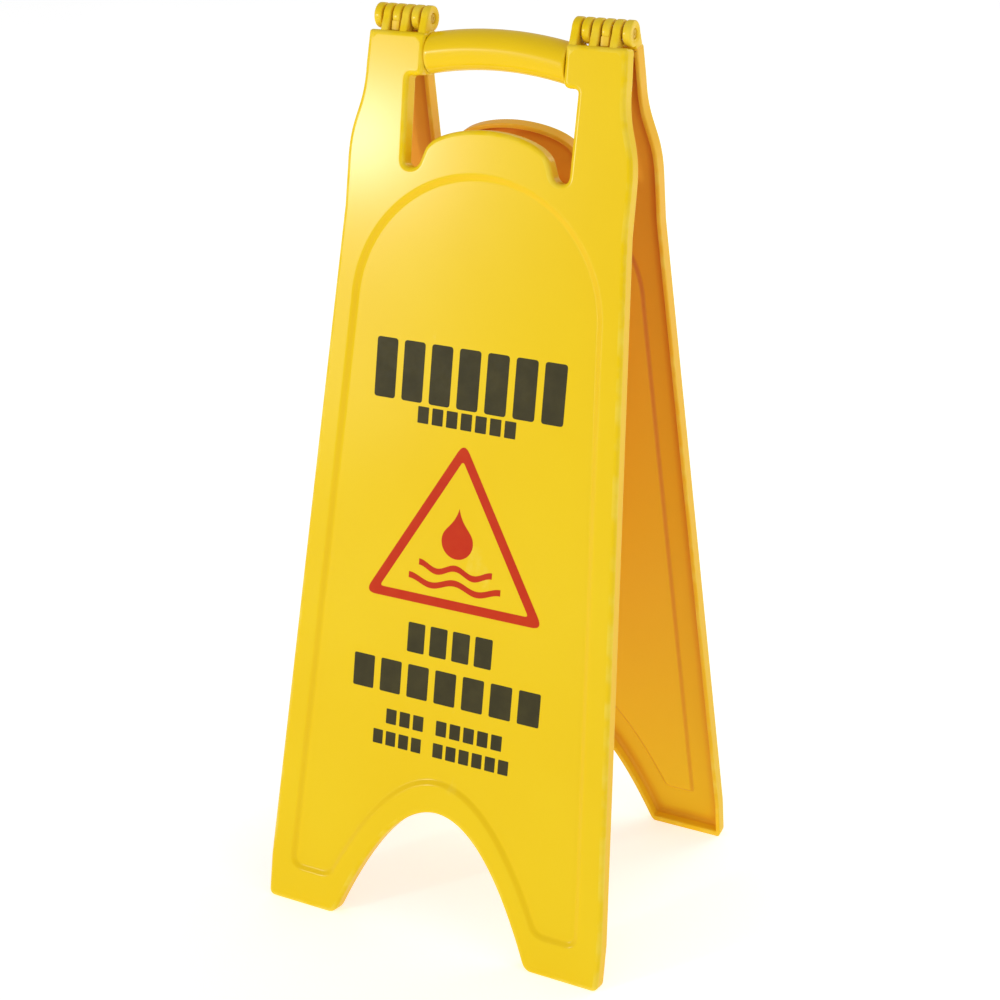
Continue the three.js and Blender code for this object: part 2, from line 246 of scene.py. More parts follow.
def panel_outline(with_bosses):
    flank_slope = (NOTCH_X - FLANK_X) / (FLANK_LEVEL - NOTCH_LEVEL)
    notch_corner = NOTCH_X + flank_slope * (NOTCH_LEVEL - NOTCH_FLOOR)
    half = Outline(0, TOP_EDGE)
    half.to(
        (TOP_EDGE_FLAT, TOP_EDGE), (TOP_EDGE_BEND, TOP_EDGE_SHOULDER), (FLANK_X, FLANK_LEVEL)
    )
    half.to((NOTCH_X, NOTCH_LEVEL))
    half.to((notch_corner, NOTCH_FLOOR), (NOTCH_MIDDLE, NOTCH_FLOOR))
    half.to((WINDOW_HALF_LOW, NOTCH_FLOOR), (WINDOW_HALF_LOW, NOTCH_LEVEL))
    if with_bosses:
        half.to((WINDOW_HALF_TOP, BOSS_FOOT - BOSS_FILLET))
        half.to((WINDOW_HALF_TOP, BOSS_FOOT), (WINDOW_HALF_TOP - BOSS_FILLET, BOSS_FOOT))
        half.to((BOSS_FACE + BOSS_CORNER, BOSS_FOOT))
        half.to((BOSS_FACE, BOSS_FOOT), (BOSS_FACE, BOSS_FOOT + BOSS_CORNER))
        inner_top = BOSS_FACE
    else:
        inner_top = WINDOW_HALF_TOP
    half.to((inner_top, POST_TOP - TOP_CORNER))
    half.to((inner_top, POST_TOP), (inner_top + TOP_CORNER, POST_TOP))
    half.to((POST_TOP_HALF - TOP_CORNER, POST_TOP))
    half.to((POST_TOP_HALF, POST_TOP), (POST_TOP_HALF, POST_TOP - TOP_CORNER))
    half.to((POST_HALF, POST_LOW))
    half.to((POST_HALF, POST_BEND), (SHOULDER_HALF, POST_BEND), (SHOULDER_HALF, SHOULDER_BEND))
    half.to((SHOULDER_HALF, SHOULDER_LOW))
    half.to((FOOT_HALF, FOOT_STRAIGHT))
    half.to((FOOT_HALF, CORNER))
    half.to((FOOT_HALF, 0), (FOOT_HALF - CORNER, 0))
    half.to((LEG_ARCH_HALF + CORNER, 0))
    arch_foot = LEG_ARCH_HALF - CORNER / 2
    half.to((LEG_ARCH_HALF, 0), (arch_foot, LEG_ARCH_TOP * (1 - (arch_foot / LEG_ARCH_HALF) ** 2)))
    half.to((arch_foot / 2, LEG_ARCH_TOP), (0, LEG_ARCH_TOP))
    return half.mirrored()


def field_outline():
    """The notice field: a half round top, tapered sides and a parabola over the leg arch."""
    leg_x = FIELD_LEG_HALF - FIELD_CORNER / 3
    drop = (FIELD_LEG_TOP - FIELD_BOTTOM) * (leg_x / FIELD_LEG_HALF) ** 2
    half = Outline(0, FIELD_TOP_CENTRE + FIELD_TOP_RADIUS)
    steps = round(math.pi / 2 * FIELD_TOP_RADIUS / CURVE_STEP)
    for k in range(1, steps + 1):
        angle = math.pi / 2 * (1 - k / steps)
        x, z = math.cos(angle), math.sin(angle)
        half.points.append(np.array((x, z)) * FIELD_TOP_RADIUS + (0, FIELD_TOP_CENTRE))
    half.to((FIELD_FOOT_HALF, FIELD_BOTTOM + FIELD_CORNER))
    half.to((FIELD_FOOT_HALF, FIELD_BOTTOM), (FIELD_FOOT_HALF - FIELD_CORNER, FIELD_BOTTOM))
    half.to((FIELD_LEG_HALF + FIELD_CORNER, FIELD_BOTTOM))
    half.to((FIELD_LEG_HALF, FIELD_BOTTOM), (leg_x, FIELD_LEG_TOP - drop))
    half.to((leg_x / 2, FIELD_LEG_TOP), (0, FIELD_LEG_TOP))
    return half.mirrored()


def distance_to_loop(points, loop):
    start, side = loop, np.roll(loop, -1, axis=0) - loop
    offset = points[:, None] - start
    share = (offset * side).sum(2) / np.maximum((side * side).sum(1), 1e-12)
    nearest = offset - np.clip(share, 0, 1)[..., None] * side
    return np.linalg.norm(nearest, axis=2).min(axis=1)


def inset(loop, distance):
    """A clockwise loop moved inwards (outwards if negative), point by point. Points that
    would cross over gather where the moved sides meet."""
    if distance == 0:
        return loop
    side = unit(np.roll(loop, -1, axis=0) - loop)
    normal = np.stack([side[:, 1], -side[:, 0]], axis=1)
    before = np.roll(normal, 1, axis=0)
    middle = unit(normal + before)
    moved = loop + middle * (distance / np.maximum((middle * normal).sum(1), 0.3))[:, None]
    crossed = distance_to_loop(moved, loop) < abs(distance) * 0.98 - 1e-3
    if crossed.all() or not crossed.any():
        return moved
    count = len(loop)
    first = int(np.argmin(crossed))
    k = 0
    while k < count:
        i = (first + k) % count
        if not crossed[i]:
            k += 1
            continue
        run = 1
        while crossed[(i + run) % count]:
            run += 1
        meeting = (moved[i - 1] + moved[(i + run) % count]) / 2
        for step in range(run):
            moved[(i + step) % count] = meeting
        k += run
    return moved


def circle(radius, centre, count=32):
    """A clockwise circle."""
    angle = -2 * math.pi * np.arange(count) / count
    return np.stack([np.cos(angle), np.sin(angle)], axis=1) * radius + centre


def inside(points, loops):
    """Which points lie inside an odd number of the loops."""
    odd = np.zeros(len(points), bool)
    x, y = points[:, 0, None], points[:, 1, None]
    for loop in loops:
        a, b = loop, np.roll(loop, -1, axis=0)
        rise = b[:, 1] - a[:, 1]
        level = (a[:, 1] > y) != (b[:, 1] > y)
        crossing = a[:, 0] + (y - a[:, 1]) * (b[:, 0] - a[:, 0]) / np.where(rise == 0, 1, rise)
        odd ^= (level & (x < crossing)).sum(axis=1) % 2 == 1
    return odd


# ---- Building meshes ------------------------------------------------------------


def quarter(steps=ARC_STEPS):
    """Pairs that go along a quarter circle: (0, 0) to (1, 1), leaving along the first."""
    for k in range(steps + 1):
        angle = math.pi / 2 * k / steps
        yield math.sin(angle), 1 - math.cos(angle)


class Shape:
    """Vertices and faces of one piece. Each vertex has its edge wear, from 0 to 1, and its
    depth of painted shade: 0 outside, 1 on the hollow side and 2 in that side's corners."""

    def __init__(self):
        self.points = []
        self.wear = []
        self.depth = []
        self.faces = []

    def ring(self, points, wear=0.0, depth=0.0):
        first = len(self.points)
        self.points.extend(tuple(map(float, p)) for p in points)
        count = len(self.points) - first
        self.wear.extend([wear] * count)
        self.depth.extend(np.broadcast_to(depth, count).tolist())
        return list(range(first, first + count))

    def skin(self, rings):
        """Quads between each ring and the next."""
        for a, b in zip(rings, rings[1:]):
            for i in range(len(a)):
                j = (i + 1) % len(a)
                self.faces.append((a[i], a[j], b[j], b[i]))

    def fill(self, rings, flats, extra=None, lift=None, depth=0.0):
        """Triangles between rings. flats are the rings' places in a plane, and extra more
        places there, which lift raises to points with the given depth of painted shade."""
        ids = [i for ring in rings for i in ring]
        flat = np.vstack(flats)
        edges, start = [], 0
        for ring in rings:
            count = len(ring)
            edges += [(start + i, start + (i + 1) % count) for i in range(count)]
            start += count
        if extra is not None:
            ids += self.ring(lift(extra), depth=depth)
            flat = np.vstack([flat, extra])
        found = delaunay_2d_cdt([Vector(p) for p in flat], edges, [], 0, 1e-5)
        places, triangles, origins = found[0], found[2], found[3]
        places = np.array([tuple(p) for p in places])
        centres = places[np.array(triangles)].mean(axis=1)
        for triangle, keep in zip(triangles, inside(centres, flats)):
            if keep:
                self.faces.append(tuple(ids[origins[v][0]] for v in triangle))

    def cap(self, ring):
        self.faces.append(tuple(ring))

    def build(self, name, matrix, body, material, sharp=50):
        mesh = bpy.data.meshes.new(name)
        mesh.from_pydata(self.points, [], self.faces)
        for key, values in (("wear", self.wear), ("depth", self.depth)):
            mesh.attributes.new(key, "FLOAT", "POINT").data.foreach_set("value", values)
        work = bmesh.new()
        work.from_mesh(mesh)
        bmesh.ops.remove_doubles(work, verts=work.verts, dist=1e-3)
        bmesh.ops.dissolve_degenerate(work, edges=work.edges, dist=1e-4)
        bmesh.ops.recalc_face_normals(work, faces=work.faces)
        work.to_mesh(mesh)
        work.free()
        mesh.transform(matrix)
        mesh.shade_smooth()
        mesh.set_sharp_from_angle(angle=math.radians(sharp))
        mesh.materials.append(material)
        piece = bpy.data.objects.new(name, mesh)
        bpy.context.scene.collection.objects.link(piece)
        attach(piece, body)
        return piece


def panel_matrix(turn):
    """From a panel's own millimetres to its place in the open sign, in metres."""
    return (
        Matrix.Translation(frame["joints"][0]["pos_m"])
        @ Matrix.Rotation(turn, 4, "Z")
        @ Matrix.Rotation(-OPEN_LEAN, 4, "X")
        @ Matrix.Scale(MM, 4)
        @ Matrix.Translation((0, 0, -PANEL_LENGTH))
    )


def upright(loop, y):
    return np.stack([loop[:, 0], np.full(len(loop), float(y)), loop[:, 1]], axis=1)


def smooth(t):
    return t * t * (3 - 2 * t)


# ---- Panels ---------------------------------------------------------------------


def stepped(shape, loop, low, high, spread, depth, crease_shade):
    """Rings over the field's soft step, from level low outside the loop to high inside.
    crease_shade is how much more painted shade the middle of the step gets than its sides."""
    half = spread / 2
    places = [(-half - SUPPORT, 0)]
    places += [(spread * k / STEP_STEPS - half, k / STEP_STEPS) for k in range(STEP_STEPS + 1)]
    places.append((half + SUPPORT, 1))
    loops = [inset(loop, distance) for distance, _ in places]
    rings = []
    for at, (_, share) in zip(loops, places):
        y = low + (high - low) * smooth(share)
        rings.append(shape.ring(upright(at, y), depth=depth + 4 * crease_shade * share * (1 - share)))
    shape.skin(rings)
    return (rings[0], loops[0]), (rings[-1], loops[-1])


def above_foot(loop):
    """The pocket's outline, raised above the solid foot."""
    above = loop[:, 1] - FOOT_WALL
    raised = FOOT_WALL + (above + np.sqrt(above**2 + FOOT_BLEND**2)) / 2
    return np.stack([loop[:, 0], raised], axis=1)


def tray(shape, outline, flange_shades):
    """A panel's shell: outer face, rolled edge, flange, rim, inner wall and stepped floor.
    flange_shades are the flange's painted shade at the foot and at the top of the panel."""
    pocket = above_foot(inset(outline, WALL))
    pocket_floor = WALL - FACE_OFFSET
    rim = -RIM_OFFSET - RIM_EDGE
    # Each ring: the outline it follows, how far inside it, y, wear, and depth of painted shade
    # (None on the flange).
    places = [(outline, FACE_EDGE + SUPPORT, -FACE_OFFSET, 0, 0)]
    for go, turn in quarter():
        places.append((outline, FACE_EDGE * (1 - go), FACE_EDGE * turn - FACE_OFFSET, 1, 0))
    places.append((outline, 0, FACE_EDGE + SUPPORT - FACE_OFFSET, 0, None))
    places.append((outline, 0, rim - SUPPORT, 0, None))
    for go, turn in quarter(SMALL_ARC_STEPS):
        places.append((outline, RIM_EDGE * turn, rim + RIM_EDGE * go, 1, None))
    for go, turn in quarter(SMALL_ARC_STEPS):
        level = rim + RIM_EDGE * (1 - turn)
        places.append((pocket, RIM_EDGE * (go - 1), level, 1, None))
    places.append((pocket, 0, rim - SUPPORT, 0, None))
    # down the inner wall the painted shade deepens, and round the floor fillet it is deepest
    places.append((pocket, 0, pocket_floor + FLOOR_FILLET + SUPPORT, 0, 1))
    for go, turn in quarter():
        level = pocket_floor + FLOOR_FILLET * (1 - go)
        places.append((pocket, FLOOR_FILLET * turn, level, 0, 2))
    places.append((pocket, FLOOR_FILLET + SUPPORT, pocket_floor, 0, 2))

    loops = [inset(base, distance) for base, distance, *_ in places]
    rings = []
    for loop, (_, _, y, wear, depth) in zip(loops, places):
        # the flange's painted shade runs from its foot to its top
        if depth is None:
            depth = np.interp(loop[:, 1], (0, PANEL_LENGTH), flange_shades)
        rings.append(shape.ring(upright(loop, y), wear, depth))
    shape.skin(rings)

    field = field_outline()
    front, floor = -FACE_OFFSET, FIELD_DEPTH - FACE_OFFSET
    # a thin line of painted shade runs along the middle of the outer step
    outer, inner = stepped(shape, field, front, floor, FIELD_SPREAD, 0, FIELD_STEP_SHADE)
    shape.fill([rings[0], outer[0]], [loops[0], outer[1]])
    shape.fill([inner[0]], [inner[1]])
    behind = inset(field, FIELD_BEHIND)
    back = pocket_floor + FIELD_DEPTH
    # on the hollow side the step is in painted shade, deepest in its middle
    outer, inner = stepped(shape, behind, pocket_floor, back, BEHIND_SPREAD, 1, 1)
    # the painted shade of the corner fades across this band of the floor
    past_corner = inset(pocket, FLOOR_FILLET + CORNER_SHADE)
    shape.fill(
        [rings[-1], outer[0]],
        [loops[-1], outer[1]],
        past_corner,
        lambda flat: upright(flat, pocket_floor),
        depth=1,
    )
    shape.fill([inner[0]], [inner[1]])


def level_feet(shape):
    """Cuts the feet level with the floor of the open sign."""
    slope = math.tan(OPEN_LEAN)
    shape.points = [(x, y, max(z, (y + FACE_OFFSET) * slope)) for x, y, z in shape.points]


def prism(shape, profile, start, end, edge, bore=None, depth=0.0):
    """A clockwise profile in y and z, drawn out along x with rolled edges. bore is the
    radius and centre of a hole through it."""
    places = [(edge * (1 - go), edge * turn) for go, turn in quarter(SMALL_ARC_STEPS)]
    far = [(distance, end - reach) for distance, reach in reversed(places)]
    places = [(distance, start + reach) for distance, reach in places] + far
    loops = [inset(profile, distance) for distance, _ in places]
    rings = []
    for loop, (distance, x) in zip(loops, places):
        # painted shade grows over the rolled edge onto the sides that face the next fingers
        side_shade = depth + FINGER_SHADE * distance / edge
        rings.append(shape.ring([(x, y, z) for y, z in loop], 1, side_shade))
    shape.skin(rings)
    if bore is None:
        shape.cap(rings[0])
        shape.cap(rings[-1])
        return
    radius, centre = bore
    steps = [
        (radius + BORE_EDGE, start),
        (radius, start + BORE_EDGE),
        (radius, end - BORE_EDGE),
        (radius + BORE_EDGE, end),
    ]
    holes = [circle(size, centre) for size, _ in steps]
    hole_rings = []
    for loop, (_, x) in zip(holes, steps):
        hole_rings.append(shape.ring([(x, y, z) for y, z in loop], 0, FINGER_SHADE))
    shape.skin(hole_rings)
    shape.fill([rings[0], hole_rings[0]], [loops[0], holes[0]])
    shape.fill([rings[-1], hole_rings[-1]], [loops[-1], holes[-1]])


def finger_profile():
    """A hinge finger from the side: a neck on the post's top, and a round barrel."""
    foot = POST_TOP - WALL / 2
    neck = np.linspace((-NECK_OUTER, POST_TOP), (-BARREL_RADIUS, PANEL_LENGTH), 7)[:-1]
    last = -math.acos(-RIM_OFFSET / BARREL_RADIUS)
    angles = np.linspace(math.pi, last, BARREL_STEPS)
    barrel = np.stack([np.cos(angles), np.sin(angles)], axis=1) * BARREL_RADIUS
    barrel += (0, PANEL_LENGTH)
    return np.vstack([[(-NECK_OUTER, foot)], neck, barrel, [(-RIM_OFFSET, foot)]])


def finger_places(number):
    """The x ranges of the fingers with this number, counted from the inside, in both combs."""
    start = COMB_INNER + number * FINGER_PITCH
    return (start, start + FINGER_WIDTH), (-start - FINGER_WIDTH, -start)


def comb(shape, first):
    """Every second hinge finger of both combs, from a number counted from the inside."""
    bore = (PIN_RADIUS + GAP, (0, PANEL_LENGTH))
    for number in range(first, FINGERS, 2):
        for start, end in finger_places(number):
            prism(shape, finger_profile(), start, end, FINGER_EDGE, bore)


def seen_from_rear(y, z):
    """A point of the front panel's y and z, as the rear panel of the open sign has it."""
    above, fold = z - PANEL_LENGTH, 2 * OPEN_LEAN
    inward = -y * math.cos(fold) - above * math.sin(fold)
    return inward, PANEL_LENGTH + above * math.cos(fold) - y * math.sin(fold)


def stop_heels(shape):
    """The heels that meet the front posts' tops and hold the sign open."""
    base = POST_TOP + GAP
    profile = np.array(
        [
            seen_from_rear(-HEEL_FAR, base),
            seen_from_rear(-HEEL_NEAR, base),
            seen_from_rear(-HEEL_NEAR, PANEL_LENGTH - PIN_RADIUS - WALL),
            seen_from_rear(-HEEL_FAR, PANEL_LENGTH - PIN_RADIUS),
        ]
    )
    for start, end in finger_places(HEEL_FINGER):
        prism(shape, profile, start, end, FINGER_EDGE / 2, depth=HEEL_SHADE)


# ---- Carrying grip ---------------------------------------------------------------


def grip_level(x):
    return GRIP_END_LEVEL + GRIP_BOW * (1 - (x / BOSS_FACE) ** 2)


def grip_slope(x):
    return -2 * GRIP_BOW * x / BOSS_FACE**2


def bosses(shape):
    """The round collars behind the bosses, with the stubs that carry the grip's shells."""
    rings_at = [
        (BOSS_FACE - STUB_LENGTH, STUB_RADIUS - 1),
        (BOSS_FACE - STUB_LENGTH + 1, STUB_RADIUS),
        (BOSS_FACE, STUB_RADIUS),
    ]
    for go, turn in quarter(SMALL_ARC_STEPS):
        rings_at.append((BOSS_FACE + RIM_EDGE * turn, BOSS_RADIUS - RIM_EDGE * (1 - go)))
    rings_at += [(BOSS_BACK - GAP, BOSS_RADIUS), (BOSS_BACK, BOSS_RADIUS - GAP)]
    for side in (1, -1):
        rings = []
        for x, radius in rings_at:
            level = grip_level(x) if radius <= STUB_RADIUS else GRIP_END_LEVEL
            across = min(max(x - BOSS_FACE, 0), FACE_EDGE)
            rolled = FACE_EDGE - math.sqrt(FACE_EDGE**2 - (FACE_EDGE - across) ** 2)
            front = rolled - FACE_OFFSET + BOSS_SETBACK
            loop = circle(radius, (0, level), BOSS_STEPS)
            rings.append(shape.ring([(side * x, max(y, front), z) for y, z in loop]))
        shape.skin(rings)
        shape.cap(rings[0])
        shape.cap(rings[-1])


def on_grip(flat, depth=0.0, side=1):
    """From the grip's unrolled surface, along and around it, to points below that surface.
    side is 1 for the half towards -y and -1 for the other."""
    along, around = flat[:, 0], flat[:, 1] / GRIP_RADIUS
    radius = GRIP_RADIUS - depth
    end = np.full(len(flat), float(GRIP_END))
    for _ in range(8):  # closes in on the section whose surface meets the grip's flat end
        tilt = grip_slope(end) / np.sqrt(1 + grip_slope(end) ** 2)
        end = GRIP_END + radius * np.sin(around) * tilt
    centre = along / GRIP_END * end
    slope = grip_slope(centre)
    size = np.sqrt(1 + slope**2)
    x = centre - radius * np.sin(around) * slope / size
    z = grip_level(centre) + radius * np.sin(around) / size
    return np.stack([x, -side * radius * np.cos(around), z], axis=1)


def rectangle(half_along, half_around, step):
    """A clockwise rectangle, with points at even steps along its sides."""
    corners = [(-1, 1), (1, 1), (1, -1), (-1, -1)]
    corners = np.array(corners) * (half_along, half_around)
    points = []
    for a, b in zip(corners, np.roll(corners, -1, axis=0)):
        count = max(2, round(np.linalg.norm(b - a) / step))
        points.extend(a + (b - a) * k / count for k in range(count))
    return np.array(points)


def grip_shell(shape, side, with_screws):
    """A half tube: outer surface, rolled edges along the seam and ends, inner surface."""
    half_around = GRIP_RADIUS * math.acos(SEAM / GRIP_RADIUS)
    border = rectangle(GRIP_END, half_around, step=1.6)
    rolled = quarter(SMALL_ARC_STEPS)
    places = [(GRIP_EDGE * (1 - go), GRIP_EDGE * turn) for go, turn in rolled]
    places.append((0, GRIP_WALL))
    loops = [inset(border, distance) for distance, _ in places]
    rings = []
    for loop, (_, depth) in zip(loops, places):
        rings.append(shape.ring(on_grip(loop, depth, side), wear=float(depth < GRIP_WALL)))
    shape.skin(rings)

    # Points inside the border, so that the triangles follow the round surface
    along = np.arange(-GRIP_END + 2.4, GRIP_END - 2, 2.2)
    around = np.linspace(-half_around + 1.8, half_around - 1.8, 19)
    grid = np.array([(a, b) for a in along for b in around])
    outer_rings, outer_flats, extra = [rings[0]], [loops[0]], grid
    if with_screws:
        for x in (-SCREW_X, SCREW_X):
            ring, flat, support = screw_hole(shape, x)
            outer_rings.append(ring)
            outer_flats.append(flat)
            near = np.linalg.norm(extra - (x, 0), axis=1) < COUNTERBORE_RADIUS + 3
            extra = np.vstack([extra[~near], support])
    shape.fill(outer_rings, outer_flats, extra, lambda flat: on_grip(flat, 0, side))
    shape.fill([rings[-1]], [loops[-1]], grid, lambda flat: on_grip(flat, GRIP_WALL, side))


def screw_hole(shape, screw_x):
    """The counterbore of one screw in the rear shell, down to its seat and on to the seam."""
    level = grip_level(SCREW_X)

    def unrolled(radius):
        loop = circle(radius, (screw_x, level), SCREW_STEPS)
        flat = (1 + grip_slope(loop[:, 0]) ** 2) ** -0.5
        reach = (loop[:, 1] - grip_level(loop[:, 0])) * flat
        return loop, GRIP_RADIUS * np.arcsin(reach / GRIP_RADIUS), reach

    rings, top = [], None
    for go, turn in quarter(SMALL_ARC_STEPS):
        loop, around, reach = unrolled(COUNTERBORE_RADIUS + COUNTERBORE_EDGE * (1 - go))
        y = np.sqrt(GRIP_RADIUS**2 - reach**2) - COUNTERBORE_EDGE * turn
        rings.append(shape.ring(np.stack([loop[:, 0], y, loop[:, 1]], axis=1), wear=1))
        if top is None:
            top = np.stack([loop[:, 0], around], axis=1)
    for radius, y in (
        (COUNTERBORE_RADIUS, HEAD_SEAT),
        (SCREW_RADIUS + GAP, HEAD_SEAT),
        (SCREW_RADIUS + GAP, SEAM),
    ):
        rings.append(shape.ring(upright(circle(radius, (screw_x, level), SCREW_STEPS), y)))
    shape.skin(rings)
    support = []
    for radius in (COUNTERBORE_RADIUS + 1, COUNTERBORE_RADIUS + 1.8):
        loop, around, _ = unrolled(radius)
        support.append(np.stack([loop[:, 0], around], axis=1))
    return rings[0], top, np.vstack(support)


def dome(radius):
    """Height of a screw head above its seat, at a distance from its axis."""
    rim, flat = HEAD_HEIGHT / 3, HEAD_RADIUS / 2
    share = np.clip((radius - flat) / (HEAD_RADIUS - flat), 0, 1)
    return rim + (HEAD_HEIGHT - rim) * np.sqrt(1 - share**2)


def cross_outline(scale):
    """The recess in a screw head: a cross with slightly flared arms."""
    w, r = RECESS_WIDTH / 2, RECESS_LENGTH / 2
    arm = np.array([(-w * 1.15, r), (w * 1.15, r), (w, w)])
    loop = []
    for turn in range(4):
        angle = -math.pi / 2 * turn
        cos, sin = math.cos(angle), math.sin(angle)
        loop.extend(arm @ np.array([(cos, sin), (-sin, cos)]))
    corners = np.array(loop) * scale
    points = []
    for a, b in zip(corners, np.roll(corners, -1, axis=0)):
        points.extend(a + (b - a) * k / 4 for k in range(4))
    return np.array(points)


def screw(shape, screw_x):
    """A pan head screw with a cross recess, its head towards +y."""
    centre = np.array((screw_x, grip_level(SCREW_X)))
    seat = HEAD_SEAT + GAP
    core = SCREW_RADIUS * THREAD_CORE
    profile = [(0.6, SCREW_TIP), (SCREW_RADIUS * 0.75, SCREW_TIP + 1.2)]
    for k in range(THREADS):
        base = SCREW_TIP + THREAD_START + k
        profile += [(core, base), (SCREW_RADIUS, base + 0.35), (core, base + 0.7)]
    profile += [(SCREW_RADIUS * 0.9, seat), (HEAD_RADIUS - 0.2, seat), (HEAD_RADIUS, seat + 0.2)]
    heads = np.linspace(HEAD_RADIUS, HEAD_RADIUS * 0.72, 8)
    profile += [(r, seat + float(dome(r))) for r in heads]
    rings = [shape.ring(upright(circle(r, centre, SCREW_STEPS), y)) for r, y in profile]
    shape.skin(rings)
    shape.cap(rings[0])

    def on_head(flat):
        height = seat + dome(np.linalg.norm(flat - centre, axis=1))
        return np.stack([flat[:, 0], height, flat[:, 1]], axis=1)

    top, floor = cross_outline(1) + centre, cross_outline(0.7) + centre
    lip = shape.ring(on_head(top), wear=1)
    bottom = shape.ring(upright(floor, seat + HEAD_HEIGHT - RECESS_DEPTH))
    shape.skin([lip, bottom])
    shape.cap(bottom)
    middle = circle(HEAD_RADIUS * 0.64, centre)
    rim = circle(heads[-1], centre, SCREW_STEPS)
    shape.fill([rings[-1], lip], [rim, top], middle, on_head)


def hinge_pin(shape, side):
    """A round pin with rolled ends and a shallow gate mark in each."""
    centre = np.array((0, PANEL_LENGTH))
    half = (COMB_OUTER - COMB_INNER) / 2 - PIN_END_GAP
    middle = side * (COMB_OUTER + COMB_INNER) / 2
    places = [(0.8, 0.4 - half), (1.1, -half), (PIN_RADIUS - 0.5, -half)]
    places += [(PIN_RADIUS - 0.15, 0.15 - half), (PIN_RADIUS, 0.5 - half)]
    places += [(radius, -x) for radius, x in reversed(places)]
    rings = []
    for radius, x in places:
        loop = circle(radius, centre)
        rings.append(shape.ring([(middle + x, y, z) for y, z in loop], wear=0.5))
    shape.skin(rings)
    shape.cap(rings[0])
    shape.cap(rings[-1])


# ---- Print -------------------------------------------------------------------------


def ink(shape, loops):
    """A thin layer on the field's floor. The first loop is its outside, the others holes."""
    floor = FIELD_DEPTH - FACE_OFFSET
    rings = []
    for loop in loops:
        pair = [shape.ring(upright(loop, floor - INK_LIFT)), shape.ring(upright(loop, floor))]
        shape.skin(pair)
        rings.append(pair)
    shape.fill([pair[0] for pair in rings], loops)
    shape.fill([pair[1] for pair in rings], loops)


def rounded(corners, radius):
    """A clockwise polygon with rounded corners."""
    corners = np.array(corners, float)
    points = []
    for before, corner, after in zip(
        np.roll(corners, 1, axis=0), corners, np.roll(corners, -1, axis=0)
    ):
        a, b = unit(before - corner), unit(after - corner)
        reach = radius / math.tan(math.acos(float(np.clip(a @ b, -1, 1))) / 2)
        points.append(corner + a * reach)
        points.extend(along_bezier([corner + a * reach, corner, corner + b * reach], 8))
    return np.array(points)


def rows_of_blocks(shape):
    """Plain blocks in rows, where a floor sign carries its wording."""
    for centre, half, low, high, groups in ROWS:
        pitches = sum(groups) + WORD_GAP * (len(groups) - 1)
        pitch = 2 * half / (pitches - BLOCK_GAP)
        x = centre - half
        for count in groups:
            for _ in range(count):
                right = x + pitch * (1 - BLOCK_GAP)
                corners = [(x, high), (right, high), (right, low), (x, low)]
                ink(shape, [rounded(corners, (high - low) * 0.06)])
                x += pitch
            x += pitch * WORD_GAP


def drop_outline(centre, height):
    """A falling drop, clockwise from its tip."""
    radius = height * 0.34
    tip = np.array((0, height - radius))
    bulge = [(radius * 0.25, height * 0.28), (radius, radius * 0.75), (radius, 0)]
    half = Outline(*tip)
    half.points.extend(along_bezier([tip, *bulge], DROP_STEPS))
    for k in range(1, DROP_STEPS + 1):
        angle = -math.pi / 2 * k / DROP_STEPS
        half.points.append(np.array((math.cos(angle), math.sin(angle))) * radius)
    return half.mirrored() + centre


def ripple_outline(level, half, thickness, swing):
    """A wavy stroke of even thickness."""
    x = np.linspace(-half, half, 49)
    wave = level + swing * np.cos(x / half * math.pi * 2)
    top = np.stack([x, wave + thickness / 2], axis=1)
    bottom = np.stack([x, wave - thickness / 2], axis=1)[::-1]
    return np.vstack([top, bottom])


def triangle_sign(shape):
    """A rounded triangular band round a drop over two ripples."""
    corners = [(0, TRIANGLE_TOP), (TRIANGLE_HALF, TRIANGLE_BASE), (-TRIANGLE_HALF, TRIANGLE_BASE)]
    outer = rounded(corners, TRIANGLE_CORNER)
    inner = rounded(inset(np.array(corners), TRIANGLE_BAND), TRIANGLE_CORNER / 3)
    ink(shape, [outer, inner])
    ink(shape, [drop_outline(DROP_CENTRE, DROP_HEIGHT)])
    for level, half in RIPPLES:
        ink(shape, [ripple_outline(level, half, RIPPLE_BAND, RIPPLE_SWING)])


# ---- Materials -----------------------------------------------------------------------


HOLLOW_SKIN = 0.2  # how much of the smooth skin the hollow side has
RUB = 0.5  # how far rubbed edges go towards the worn colour
SCRATCH = 0.35  # and scratches
COAT_ROUGHNESS = 0.17
SWELL = 0.0006  # height of the slow waves in a moulded face, in metres


